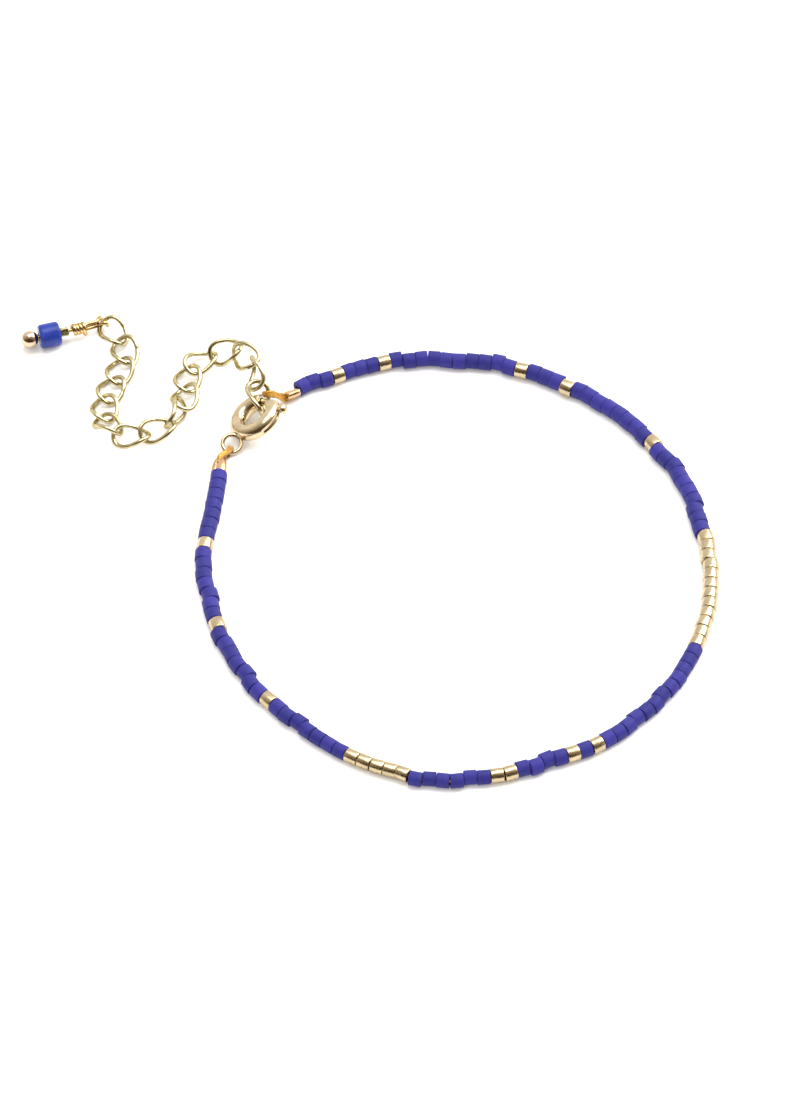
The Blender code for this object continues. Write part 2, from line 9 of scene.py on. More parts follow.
import bmesh
import bpy
import numpy as np
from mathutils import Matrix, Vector


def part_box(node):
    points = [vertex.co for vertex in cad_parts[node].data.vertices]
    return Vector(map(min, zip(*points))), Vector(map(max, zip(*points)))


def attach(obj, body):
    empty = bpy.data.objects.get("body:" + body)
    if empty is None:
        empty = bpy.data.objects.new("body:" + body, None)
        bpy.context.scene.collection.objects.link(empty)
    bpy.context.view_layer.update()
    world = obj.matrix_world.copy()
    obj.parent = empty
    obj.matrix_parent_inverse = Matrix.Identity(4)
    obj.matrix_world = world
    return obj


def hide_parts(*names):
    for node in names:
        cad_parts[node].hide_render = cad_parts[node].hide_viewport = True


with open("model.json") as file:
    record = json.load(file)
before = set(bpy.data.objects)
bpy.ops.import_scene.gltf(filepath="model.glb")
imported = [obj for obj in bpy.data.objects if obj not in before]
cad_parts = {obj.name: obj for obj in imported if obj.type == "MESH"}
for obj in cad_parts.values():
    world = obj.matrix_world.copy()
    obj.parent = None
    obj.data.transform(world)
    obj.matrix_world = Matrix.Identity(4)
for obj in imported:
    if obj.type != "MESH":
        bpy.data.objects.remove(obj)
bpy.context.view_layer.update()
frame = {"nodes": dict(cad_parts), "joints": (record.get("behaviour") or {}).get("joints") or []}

MM = 0.001
UP = np.array([0.0, 0.0, 1.0])
dice = np.random.default_rng(11)

# Camera: where it aims on the table, how far off it is and how steeply it looks down
CAMERA_AIM = np.array([3.940, -1.459, 0.0]) * MM
CAMERA_DISTANCE = 0.6
CAMERA_ELEVATION = math.radians(48.0)
CAMERA_LENS = 177.1

# Strand, as the solids have it, with its path running on past each end
PATH_LEAD = 3.0 * MM
BEAD_PITCH = 1.44 * MM
BEAD_RUNS = (
    ("blue", 7), ("gold", 1), ("blue", 7), ("gold", 1), ("blue", 7), ("gold", 1),
    ("blue", 7), ("gold", 5), ("blue", 6), ("gold", 2), ("blue", 4), ("gold", 1),
    ("blue", 1), ("gold", 1), ("blue", 12), ("gold", 12), ("blue", 10), ("gold", 1),
    ("blue", 8), ("gold", 1), ("blue", 3), ("gold", 1), ("blue", 10), ("gold", 1),
    ("blue", 3), ("gold", 1), ("blue", 3),
)
STRAND_ROUTE = (
    (-16.0, 10.8), (-16.6, 4.0), (-17.2, -2.7), (-16.3, -9.4), (-14.1, -15.8), (-10.7, -21.5),
    (-6.1, -26.4), (-0.7, -30.4), (5.5, -33.0), (12.2, -33.3), (18.6, -31.3), (24.8, -28.7),
    (30.0, -24.3), (33.9, -18.9), (36.5, -12.7), (37.8, -6.1), (37.6, 0.6), (36.1, 7.2),
    (33.2, 13.2), (29.2, 18.6), (24.1, 23.0), (18.0, 25.8), (11.6, 27.7), (5.0, 27.9),
    (-1.5, 26.1), (-7.3, 22.8),
)
# How far beads lie along the wire past an even spacing, in millimetres, by their place in order
BEAD_DRIFT = (
    (0, 0.60), (7, 0.67), (15, 0.89), (23, 1.36), (33, 1.69), (43, 1.56), (63, 1.08),
    (74, 0.64), (85, 0.20), (94, 0.24), (109, 0.28), (116, 0.0),
)
# The beads' radius in millimetres, which runs a little larger and smaller round the strand
BEAD_RADII = (
    (0, 0.95), (14, 0.92), (25, 0.88), (29, 0.8), (41, 0.8), (45, 0.88), (62, 0.88), (70, 0.92),
    (76, 0.96), (95, 0.93), (104, 0.89), (116, 0.88),
)
BEAD_SPACE = 0.03 * MM
BEAD_BORE = 0.34 * MM
BEAD_SIDES = 28
BEAD_EDGE = {"gold": 0.11 * MM, "blue": 0.09 * MM}
GOLD_RADIUS_SHARE = 0.98
WIRE_RADIUS = 0.19 * MM
WIRE_PAST_ROW = 0.35 * MM
# The spread of the beads' small departures: aside in millimetres, and tilts as slopes. A bead
# tilts by this share of the step between its neighbours' jogs.
ASIDE_SPREAD = 0.035
TILT_SPREAD = 0.03
PITCH_SPREAD = 0.015
JOG_TILT = 0.25
# How far a bead's length in millimetres and a blue bead's share of its radius may vary
LENGTH_RANGE = (-0.03, 0.015)
RADIUS_RANGE = (-0.03, 0.0)
# How far the strand wanders aside of the route, in millimetres, at some of its beads, and
# the beads that sit further aside than their neighbours
WANDER = (
    (0, 0.12), (3, 0.02), (5, -0.16), (10, -0.16), (14, -0.08), (22, -0.09), (30, -0.14),
    (35, -0.14), (38, -0.06), (44, 0.02), (50, -0.02), (54, 0.05), (60, 0.0), (66, 0.07),
    (72, 0.2), (75, 0.25), (92, 0.22), (95, 0.13), (97, -0.05), (101, -0.06), (103, 0.17),
    (108, 0.2), (111, -0.02), (116, -0.05),
)
JOGS = {
    4: 0.11, 12: 0.22, 13: 0.08, 16: -0.19, 19: -0.13, 20: 0.11, 21: -0.18, 22: -0.14, 26: 0.26,
    33: 0.12, 34: 0.22, 35: 0.14, 36: -0.24, 38: -0.12, 39: -0.17, 40: 0.27, 41: 0.14, 43: -0.12,
    45: -0.28, 46: 0.15, 54: 0.18, 57: 0.18, 72: 0.1, 75: 0.28, 76: 0.3, 77: 0.26, 82: -0.15,
    84: 0.2, 86: 0.1, 91: 0.15, 94: 0.28, 97: -0.12, 100: -0.33, 103: 0.18, 104: 0.2, 105: -0.1,
    107: 0.1, 108: -0.2, 113: 0.18, 115: -0.42, 116: -0.45,
}

# Crimps
CRIMP_LENGTH = {"clasp": 2.2 * MM, "chain": 1.6 * MM}
CRIMP_GAP = 0.06 * MM
CRIMP_WIDTH = 1.7 * MM
CRIMP_THICKNESS = 1.0 * MM
CRIMP_ROLL = {"clasp": 0.0, "chain": 50.0}
# Where the crease lies across each crimp, how deep it is, and how narrow its mouth is
CRIMP_CREASE = {"clasp": (0.3, 0.3), "chain": (-0.2, 0.02)}
CRIMP_CREASE_WIDTH = 0.2
CRIMP_MOUTH = {"clasp": 0.7, "chain": 0.8}
CRIMP_SQUARENESS = 0.85
CRIMP_BORE_SHARE = 0.45

# Wire hooks: how far the wire stays off what it catches, and where its arc's points lie
CLEARANCE = 0.12 * MM
HOOK_EASE = 1.03
HOOK_TURNS = (70.0, 125.0, 180.0, 235.0, 290.0)
WIRE_LEAD = 0.25 * MM
WIRE_IN_CRIMP = 0.8 * MM
# The doubled wire's half spacing, as a share of its radius, and how thin it gets at the table
PAIR_SPACING = 0.85
PAIR_THINNEST = 0.4
PAIR_THINS_BELOW = 2.2
PAIR_OFF_TABLE = 0.01 * MM

# Chain
LINK_COUNT = 16
LINK_HALF_LENGTH = 2.0 * MM
LINK_HALF_WIDTH = 1.4 * MM
LINK_TWIST = -0.45 * MM
LINK_WIRE_RADIUS = 0.27 * MM
LINK_BUTT_DEPTH = 0.16
LINK_BUTT_WIDTH = 0.05
CHAIN_CATCH_TURN = 74.0
DROP_CATCH_TURN = -38.0

# Clasp
CLASP_OPENING_DIRECTION = (0.640, 0.750, 0.326)
CLASP_RADIUS = 2.15 * MM
CLASP_TUBE_RADIUS = 0.92 * MM
CLASP_BORE_RADIUS = 0.5 * MM
OPENING_HALF_ANGLE = 22.0
BOLT_RADIUS = 0.38 * MM
BOLT_TAIL_ANGLE = -65.0
BOLT_TIP_ANGLE = 28.0
KNOB_ANGLE = -52.0
KNOB_RADIUS = 0.58 * MM
KNOB_FLATNESS = 0.78
KNOB_STEM_RADIUS = 0.17 * MM
KNOB_TRAVEL = 50.0
LIP_ANGLE = 1.6
SLOT_MARGIN = 12.0
SLOT_SOFTNESS = 1.2
SLOT_HALF_WIDTH = 15.0
SLOT_DEPTH = 0.22 * MM
EAR_RADIUS = 1.05 * MM
EAR_WIRE_RADIUS = 0.25 * MM
EAR_ANGLE = 178.0
EAR_TWIST = 40.0
EAR_CATCH_TURN = 25.0
EAR_REACH = 4.02 * MM

# Drop, measured back along its axis from the neck of its loop
DROP_YAW = 17.0
DROP_NECK = 1.7 * MM
DROP_AXIS_HEIGHT = 1.4 * MM
DROP_WIRE_RADIUS = 0.24 * MM
DROP_COIL_RADIUS = 0.46 * MM
DROP_COIL_START = 1.4 * MM
DROP_COIL_PITCH = 0.37 * MM
DROP_COIL_TURNS = 3.7
DROP_COIL_SWELL = 0.04 * MM
DROP_COIL_TAIL = 0.35 * MM
DROP_PIN_PAST_NECK = 0.2 * MM
DROP_BORE = 0.32 * MM
DROP_HOOK_TURN = -8.0
DROP_THROAT = 0.85 * MM
DROP_TUBE_AT = 2.44 * MM
DROP_TUBE_HALF = 0.46 * MM
DROP_TUBE_RADIUS = 0.55 * MM
DROP_TUBE_EDGE = 0.08 * MM
DROP_TUBE_SQUARENESS = 0.12
DROP_BEAD_AT = 4.14 * MM
DROP_BEAD_HALF = 1.2 * MM
DROP_BEAD_RADIUS = 1.4 * MM
DROP_BEAD_EDGE = 0.42 * MM
DROP_BALL_AT = 6.44 * MM
DROP_BALL_RADIUS = 1.0 * MM

# Steps by which a direction along a path is taken, and the distance that merges two corners
NEARBY = np.array([0.0, -0.05, 0.05]) * MM
MERGE_DISTANCE = 1e-7


# Geometry

def unit(rows):
    """Rows divided by their lengths."""
    rows = np.asarray(rows, dtype=float)
    return rows / np.linalg.norm(rows, axis=-1, keepdims=True)


def turned_about(vector, axis, degrees):
    """A vector turned about a unit axis: its part across the axis swings by the angle."""
    turn = math.radians(degrees)
    along_axis = axis * np.dot(vector, axis)
    return (
        along_axis + (vector - along_axis) * math.cos(turn)
        + np.cross(axis, vector) * math.sin(turn)
    )


def smooth_path(points, steps=24, closed=False):
    """A Catmull-Rom curve: a cubic in the share of each span, from the four points round it."""
    rows = np.asarray(points, dtype=float)
    if closed:
        rows = np.vstack([rows[-1], rows, rows[0], rows[1]])
    else:
        rows = np.vstack([2 * rows[0] - rows[1], rows, 2 * rows[-1] - rows[-2]])
    share = np.linspace(0.0, 1.0, steps, endpoint=False)[None, :, None]
    before, start, end, after = (rows[k:len(rows) - 3 + k, None, :] for k in range(4))
    bend = 2 * before - 5 * start + 4 * end - after
    turn = 3 * (start - end) + after - before
    spans = start + 0.5 * share * ((end - before) + share * (bend + share * turn))
    dense = spans.reshape(-1, rows.shape[1])
    return dense if closed else np.vstack([dense, rows[-2:-1]])


def along(path, distances):
    """The path's points at distances along it, by linear interpolation."""
    reach = np.concatenate([[0.0], np.cumsum(np.linalg.norm(np.diff(path, axis=0), axis=1))])
    return np.stack([np.interp(distances, reach, column) for column in path.T], axis=-1)


def tangents(path, closed=False):
    """Unit central differences of a path's points."""
    if closed:
        return unit(np.roll(path, -1, axis=0) - np.roll(path, 1, axis=0))
    return unit(np.gradient(path, axis=0))


def surface(name, grids, shade_angle=40.0):
    """One mesh of grids of points: each is (points, wraps in rows, wraps in columns)."""
    corners, quads, places = [], [], []
    offset = 0
    for points, wrap_rows, wrap_columns in grids:
        rows, columns = points.shape[:2]
        down = np.arange(rows if wrap_rows else rows - 1)[:, None]
        across = np.arange(columns if wrap_columns else columns - 1)[None, :]
        down_next, across_next = (down + 1) % rows, (across + 1) % columns
        quad = np.stack([
            down * columns + across, down * columns + across_next,
            down_next * columns + across_next, down_next * columns + across,
        ], axis=-1)
        flat = np.stack(np.broadcast_arrays(
            across / columns, down / rows, (across + 1) / columns, down / rows,
            (across + 1) / columns, (down + 1) / rows, across / columns, (down + 1) / rows,
        ), axis=-1)
        corners.append(points.reshape(-1, 3))
        quads.append(quad.reshape(-1, 4) + offset)
        places.append(flat.reshape(-1, 2))
        offset += rows * columns
    mesh = bpy.data.meshes.new(name)
    mesh.from_pydata(np.vstack(corners), [], np.vstack(quads).tolist())
    layer = mesh.uv_layers.new(name="UVMap")
    layer.data.foreach_set("uv", np.vstack(places).ravel())
    edit = bmesh.new()
    edit.from_mesh(mesh)
    bmesh.ops.remove_doubles(edit, verts=edit.verts, dist=MERGE_DISTANCE)
    bmesh.ops.recalc_face_normals(edit, faces=edit.faces)
    edit.to_mesh(mesh)
    edit.free()
    mesh.shade_smooth()
    mesh.set_sharp_from_angle(angle=math.radians(shade_angle))
    made = bpy.data.objects.new(name, mesh)
    bpy.context.scene.collection.objects.link(made)
    return made


def round_section(count=20):
    """Unit circle points: cosine and sine of equal turns."""
    turns = np.linspace(0.0, 2 * math.pi, count, endpoint=False)
    return np.stack([np.cos(turns), np.sin(turns)], axis=-1)


def swept(path, radius, reference, section=None, closed=False):
    """A section carried along a path: its X lies across the path and the reference direction,
    its Y completes the frame, and the radius may differ at each point. Open ends come to a point.
    """
    section = round_section() if section is None else section
    ways = tangents(path, closed)
    side = unit(np.cross(np.broadcast_to(reference, ways.shape), ways))
    up = np.cross(ways, side)
    radius = np.broadcast_to(np.asarray(radius, dtype=float), (len(path),))
    section = np.broadcast_to(section, (len(path), *np.shape(section)[-2:]))
    ring = section * radius[:, None, None]
    points = path[:, None, :] + ring[..., :1] * side[:, None, :] + ring[..., 1:] * up[:, None, :]
    if not closed:
        first = np.broadcast_to(path[0], points[0].shape)[None]
        last = np.broadcast_to(path[-1], points[0].shape)[None]
        points = np.concatenate([first, points, last])
    return points, closed, True


def turned(profile, centre, axis, count=32, closed=True, out_of_round=None):
    """A profile of (radius, height) turned about an axis through a centre: each point swings
    round the axis, at its own radius and height.
    """
    axis = unit(axis)
    side = unit(np.cross(UP, axis)) if abs(axis[2]) < 0.99 else np.array([1.0, 0.0, 0.0])
    up = np.cross(axis, side)
    profile = np.asarray(profile, dtype=float)
    ring = round_section(count)
    radius = profile[:, None, :1]
    if out_of_round is not None:
        radius = radius * (1 + out_of_round[None, :, None])
    swing = ring[None, :, :1] * side + ring[None, :, 1:] * up
    return centre + radius * swing + profile[:, None, 1:] * axis, closed, True


def rounded(corners, radius, steps=3):
    """A closed profile whose corners are rounded by quadratic arcs that start this far off."""
    corners = np.asarray(corners, dtype=float)
    back = np.roll(corners, 1, axis=0) - corners
    ahead = np.roll(corners, -1, axis=0) - corners
    cut_back = np.minimum(radius, 0.45 * np.linalg.norm(back, axis=1))[:, None]
    cut_ahead = np.minimum(radius, 0.45 * np.linalg.norm(ahead, axis=1))[:, None]
    start, end = corners + unit(back) * cut_back, corners + unit(ahead) * cut_ahead
    share = np.linspace(0.0, 1.0, steps + 1)[None, :, None]
    arcs = (
        (1 - share) ** 2 * start[:, None] + 2 * share * (1 - share) * corners[:, None]
        + share ** 2 * end[:, None]
    )
    return arcs.reshape(-1, 2)


# Materials

def material(name, base, metallic, roughness, build, **sockets):
    """A Principled material with its sockets set, and its node pattern built on top."""
    made = bpy.data.materials.new(name)
    made.use_nodes = True
    shader = made.node_tree.nodes["Principled BSDF"]
    shader.inputs["Base Color"].default_value = (*base, 1.0)
    shader.inputs["Metallic"].default_value = metallic
    shader.inputs["Roughness"].default_value = roughness
    for socket, value in sockets.items():
        shader.inputs[socket.replace("_", " ")].default_value = value
    build(made.node_tree, shader, base, roughness)
    return made


def node(tree, kind, **values):
    """A new node with its properties and input defaults set."""
    made = tree.nodes.new(kind)
    for key, value in values.items():
        if key in made.inputs:
            made.inputs[key].default_value = value
        elif key.replace("_", " ") in made.inputs:
            made.inputs[key.replace("_", " ")].default_value = value
        else:
            setattr(made, key, value)
    return made


def noise(tree, scale, detail=2.0):
    """A noise pattern on Object coordinates, with its scale per metre."""
    place = node(tree, "ShaderNodeTexCoord")
    made = node(tree, "ShaderNodeTexNoise", Scale=scale, Detail=detail)
    tree.links.new(place.outputs["Object"], made.inputs["Vector"])
    return made


def spread(tree, source, low, high, from_low=0.35, from_high=0.65):
    """A value carried from one range to another."""
    made = node(tree, "ShaderNodeMapRange")
    made.inputs["From Min"].default_value = from_low
    made.inputs["From Max"].default_value = from_high
    made.inputs["To Min"].default_value = low
    made.inputs["To Max"].default_value = high
    tree.links.new(source, made.inputs["Value"])
    return made.outputs["Result"]


def blend_colours(tree, share, first, second):
    """Two colours blended by a share."""
    made = node(tree, "ShaderNodeMix", data_type="RGBA")
    made.inputs[6].default_value = (*first, 1.0)
    made.inputs[7].default_value = (*second, 1.0)
    tree.links.new(share, made.inputs["Factor"])
    return made.outputs[2]


def bump(tree, shader, height, distance, strength=0.5):
    """Relief on the surface from a height, in metres at full height."""
    made = node(tree, "ShaderNodeBump", Strength=strength, Distance=distance)
    tree.links.new(height, made.inputs["Height"])
    tree.links.new(made.outputs["Normal"], shader.inputs["Normal"])


def shaded(base, factor):
    """A colour made darker or lighter."""
    return tuple(min(1.0, channel * factor) for channel in base)


def plated(tree, shader, base, roughness):
    """Plated metal: cloudy colour, roughness that varies, and a faint unevenness."""
    cloud = noise(tree, 900.0, 3.0)
    share = spread(tree, cloud.outputs["Fac"], 0.0, 1.0)
    colour = blend_colours(tree, share, shaded(base, 0.86), shaded(base, 1.08))
    tree.links.new(colour, shader.inputs["Base Color"])
    fine = noise(tree, 5200.0, 2.0)
    rough = spread(tree, fine.outputs["Fac"], roughness * 0.75, roughness * 1.35)
    tree.links.new(rough, shader.inputs["Roughness"])
    bump(tree, shader, cloud.outputs["Fac"], 0.06 * MM, 0.35)


def frosted(tree, shader, base, roughness):
    """Matte opaque glass: each bead's own tone, mottled colour and an etched grain."""
    tone = node(tree, "ShaderNodeAttribute", attribute_name="tone")
    own = blend_colours(
        tree, tone.outputs["Fac"], shaded(base, 0.8), (base[0] * 1.3, base[1] * 1.15, base[2] * 1.12)
    )
    cloud = noise(tree, 1700.0, 3.0)
    mix = node(tree, "ShaderNodeMix", data_type="RGBA", blend_type="MULTIPLY")
    mix.inputs["Factor"].default_value = 1.0
    tree.links.new(own, mix.inputs[6])
    mottle = blend_colours(
        tree, spread(tree, cloud.outputs["Fac"], 0.0, 1.0), (0.82, 0.84, 0.9), (1.0, 1.0, 1.0)
    )
    tree.links.new(mottle, mix.inputs[7])
    tree.links.new(mix.outputs[2], shader.inputs["Base Color"])
    grain = noise(tree, 16000.0, 2.0)
    rough = spread(tree, grain.outputs["Fac"], roughness * 0.85, roughness * 1.15)
    tree.links.new(rough, shader.inputs["Roughness"])
    bump(tree, shader, grain.outputs["Fac"], 0.012 * MM, 0.5)


def polished_glass(tree, shader, base, roughness):
    """Glossy opaque glass: slow streaks of tone under a smooth skin."""
    cloud = noise(tree, 620.0, 3.0)
    colour = blend_colours(
        tree, spread(tree, cloud.outputs["Fac"], 0.0, 1.0), shaded(base, 0.8), shaded(base, 1.25)
    )
    tree.links.new(colour, shader.inputs["Base Color"])
    fine = noise(tree, 4200.0, 2.0)
    tree.links.new(
        spread(tree, fine.outputs["Fac"], roughness * 0.8, roughness * 1.4),
        shader.inputs["Roughness"],
    )
    bump(tree, shader, cloud.outputs["Fac"], 0.03 * MM, 0.2)


def lacquered(tree, shader, base, roughness):
    """Lacquered wire: amber that pools darker and lighter, with lines along its length."""
    cloud = noise(tree, 1500.0, 2.0)
    colour = blend_colours(
        tree, spread(tree, cloud.outputs["Fac"], 0.0, 1.0), shaded(base, 0.55), shaded(base, 1.3)
    )
    tree.links.new(colour, shader.inputs["Base Color"])
    fine = noise(tree, 9000.0, 2.0)
    tree.links.new(
        spread(tree, fine.outputs["Fac"], roughness * 0.8, roughness * 1.3),
        shader.inputs["Roughness"],
    )
    bump(tree, shader, fine.outputs["Fac"], 0.02 * MM, 0.4)


def tabletop(tree, shader, base, roughness):
    """A pale card with the faintest grain."""
    grain = noise(tree, 700.0, 3.0)
    colour = blend_colours(
        tree, spread(tree, grain.outputs["Fac"], 0.0, 1.0), shaded(base, 0.995), base
    )
    tree.links.new(colour, shader.inputs["Base Color"])


BLUE = material(
    "matte_blue_glass", (0.025, 0.024, 0.195), 0.0, 0.6, frosted, Specular_IOR_Level=0.2,
    Sheen_Weight=0.05, Sheen_Roughness=0.45, Sheen_Tint=(0.7, 0.62, 0.6, 1.0),
)
GOLD_BEAD = material("gold_bead_plating", (0.5, 0.4, 0.25), 1.0, 0.24, plated)
CHAIN = material(
    "champagne_plating", (0.56, 0.49, 0.3), 1.0, 0.2, plated,
    Specular_Tint=(0.5, 0.42, 0.26, 1.0),
)
CLASP = material("clasp_plating", (0.6, 0.48, 0.31), 1.0, 0.18, plated)
CRIMP = material("rosy_plating", (0.58, 0.37, 0.2), 1.0, 0.24, plated)
AMBER = material("amber_wire", (0.44, 0.22, 0.03), 0.5, 0.34, lacquered)
DROP_WIRE = material(
    "drop_wire_plating", (0.6, 0.42, 0.2), 1.0, 0.2, plated,
    Specular_Tint=(0.5, 0.38, 0.2, 1.0),
)
DROP_BLUE = material(
    "polished_blue_glass", (0.016, 0.034, 0.24), 0.0, 0.2, polished_glass,
    Specular_IOR_Level=0.25,
)
BALL = material("drop_ball_plating", (0.58, 0.44, 0.31), 1.0, 0.1, plated)
OLIVE = material("olive_plating", (0.34, 0.31, 0.16), 1.0, 0.3, plated)
FLOOR = material("white_card", (0.94, 0.94, 0.94), 0.0, 0.8, tabletop, Specular_IOR_Level=0.0)


def dress(obj, finish, slot, *nodes, body="bracelet"):
    """Gives a piece its finish and its body, and hides the solids that it stands for."""
    obj.data.materials.append(finish)
    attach(obj, body)
    if nodes:
        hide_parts(*nodes)
    return obj


# Strand

def strand_path():
    """The strand's axis in the frame, scaled to the beads' row and run on past each end; the first
    gold bead afterwards sets it onto the solids.
    """
    flat = smooth_path([(x * MM, y * MM, 0.0) for x, y in STRAND_ROUTE])
    count = sum(number for _, number in BEAD_RUNS)
    length = np.linalg.norm(np.diff(flat, axis=0), axis=1).sum()
    scaled = flat[0] + (flat - flat[0]) * (count * BEAD_PITCH / length)
    ways = unit(np.stack([scaled[0] - scaled[1], scaled[-1] - scaled[-2]]))
    return np.vstack([
        scaled[0] + ways[0] * PATH_LEAD, scaled, scaled[-1] + ways[1] * PATH_LEAD,
    ])


kinds = [kind for kind, number in BEAD_RUNS for _ in range(number)]
order = np.arange(len(kinds))
stations = PATH_LEAD + (order + 0.5) * BEAD_PITCH + np.interp(order, *np.transpose(BEAD_DRIFT)) * MM
row_start, row_end = stations[0] - BEAD_PITCH / 2, stations[-1] + BEAD_PITCH / 2
bead_lengths = np.gradient(stations) - BEAD_SPACE
bead_radii = np.interp(order, *np.transpose(BEAD_RADII)) * MM
axis_path = strand_path()
gold_index = [index for index, kind in enumerate(kinds) if kind == "gold"]
low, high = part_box("gold_bead_01")
shift = (np.array(low) + np.array(high)) / 2 - along(axis_path, stations[gold_index[:1]])[0]
axis_path = axis_path + shift


def bead_profile(length, radius, bore, edge):
    """A drilled cylinder's closed outline, its outer and inner edges rounded alike."""
    half = length / 2
    corners = ((bore, half), (radius, half), (radius, -half), (bore, -half))
    return rounded(corners, edge)[::-1]


def wobble(spread):
    """A small random departure from nought, never more than twice its spread."""
    return np.clip(dice.normal(0.0, spread), -2 * spread, 2 * spread)


def strung(index):
    """A bead's centre and axis as it sits on the wire: on the path, but a little aside and
    tilted, and lifted so that it rests on the table.
    """
    centre, before, after = along(axis_path, stations[index] + NEARBY)
    way = unit(after - before)
    side = np.cross(UP, way)
    aside = np.interp(index, *np.transpose(WANDER)) + JOGS.get(index, 0.0)
    aside = (aside + wobble(ASIDE_SPREAD)) * MM
    jog_step = JOGS.get(index + 1, 0.0) - JOGS.get(index - 1, 0.0)
    tilt = wobble(TILT_SPREAD) + JOG_TILT * jog_step
    pitch = wobble(PITCH_SPREAD)
    lift = bead_radii[index] * (1.0 + 0.4 * abs(pitch)) - axis_path[0, 2]
    return centre + side * aside + UP * lift, unit(way + side * tilt + UP * pitch)


blue_grids, tones, centres = [], [], []
for index, kind in enumerate(kinds):
    centre, way = strung(index)
    centres.append(centre)
    length = bead_lengths[index] + dice.uniform(*LENGTH_RANGE) * MM
    if kind == "gold":
        number = gold_index.index(index) + 1
        radius = bead_radii[index] * GOLD_RADIUS_SHARE
        profile = bead_profile(length, radius, BEAD_BORE, BEAD_EDGE[kind])
        bead = surface(
            f"gold_bead_{number:02d}_plated", [turned(profile, centre, way, BEAD_SIDES)]
        )
        dress(bead, GOLD_BEAD, "bead_gold", f"gold_bead_{number:02d}")
        continue
    radius = bead_radii[index] * (1.0 + dice.uniform(*RADIUS_RANGE))
    profile = bead_profile(length, radius, BEAD_BORE, BEAD_EDGE[kind])
    blue_grids.append(turned(profile, centre, way, BEAD_SIDES))
    tones.append(dice.uniform(0.0, 1.0))
blue = surface("blue_beads", blue_grids)
per_bead = len(blue.data.vertices) // len(tones)
tone = blue.data.attributes.new("tone", "FLOAT", "POINT")
tone.data.foreach_set("value", np.repeat(tones, per_bead))
dress(blue, BLUE, "bead_blue", "bead_strand")

wire_ends = np.array([row_start - WIRE_PAST_ROW, row_end + WIRE_PAST_ROW])
threaded = np.vstack([
    along(axis_path, wire_ends[:1]), np.array(centres), along(axis_path, wire_ends[1:])
])
wire_path = smooth_path(threaded, 5)
wire = surface("beading_wire", [swept(wire_path, WIRE_RADIUS, UP, round_section(10))])
dress(wire, AMBER, "wire_amber")


# Crimps and the wire loops they hold

def crimp_place(side):
    """A crimp's centre, its direction away from the strand, and its wide direction."""
    end = row_start if side == "clasp" else row_end
    start, before, after = along(axis_path, end + NEARBY)
    away = unit(after - before) * (-1 if side == "clasp" else 1)
    wide = turned_about(unit(np.cross(UP, away)), away, CRIMP_ROLL[side])
    return start + away * (CRIMP_GAP + CRIMP_LENGTH[side] / 2), away, wide


def build_crimp(side):
    """A flattened tube with a crease along one face: an oval section pinched where the crease
    lies, narrowing to its mouth, closed in at both ends and hollow.
    """
    centre, away, wide = crimp_place(side)
    thick = np.cross(away, wide)
    turns = np.linspace(0.0, 2 * math.pi, 48, endpoint=False)
    across, through = np.cos(turns), np.sin(turns)
    across = np.sign(across) * np.abs(across) ** CRIMP_SQUARENESS
    crease_at, crease_depth = CRIMP_CREASE[side]
    crease = np.exp(-((across - crease_at) / CRIMP_CREASE_WIDTH) ** 2)
    pinch = 1 - crease_depth * crease * (through > 0)
    section = np.stack([across * CRIMP_WIDTH / 2, through * pinch * CRIMP_THICKNESS / 2], axis=-1)
    half, mouth, bore = CRIMP_LENGTH[side] / 2, CRIMP_MOUTH[side], CRIMP_BORE_SHARE
    # Each row is a place along the tube and the section's share there, out along the outer
    # wall and back along the bore
    rows = np.array([
        (-half, 0.55), (-half, 0.86), (-half + 0.06 * MM, 0.96), (-half * 0.6, 1.0), (0.0, 0.97),
        (half * 0.6, 0.5 + 0.5 * mouth), (half - 0.06 * MM, mouth), (half, mouth * 0.9),
        (half, mouth * 0.6), (half * 0.5, bore), (-half * 0.5, bore),
    ])
    ring = rows[:, None, 1:] * section[None]
    points = (
        centre + rows[:, None, :1] * away + ring[..., :1] * wide + ring[..., 1:] * thick
    )
    made = surface(f"crimp_{side}_tube", [(points, True, True)], 50.0)
    dress(made, CRIMP, "crimp_gold", f"crimp_{side}")


def hook(start, away, side, catch, run, catch_radius, wire_radius):
    """A wire's way from one side of a start, round a caught wire and back to the other."""
    back = start - catch
    back = unit(back - run * np.dot(back, run))
    across = np.cross(run, back)
    if np.dot(across, side) < 0:
        across = -across
    reach = (catch_radius + wire_radius + CLEARANCE) * HOOK_EASE
    turns = np.radians(HOOK_TURNS)[:, None]
    arc = catch + (back * np.cos(turns) + across * np.sin(turns)) * reach
    lead = away * WIRE_LEAD
    return np.vstack([
        start + side, start + side + lead, arc, start - side + lead, start - side,
    ])


def paired_section(count=14):
    """Two round wires side by side as one outline: at each place across, the wider circle's
    edge.
    """
    half_turn = np.linspace(-0.5 * math.pi, 0.5 * math.pi, count)
    across = (1 + PAIR_SPACING) * np.sin(half_turn)
    edge = np.sqrt(np.clip(1 - (np.abs(across) - PAIR_SPACING) ** 2, 0.0, 1.0))
    face = np.stack([edge, across], axis=-1)
    return np.vstack([face, -face[1:-1]])


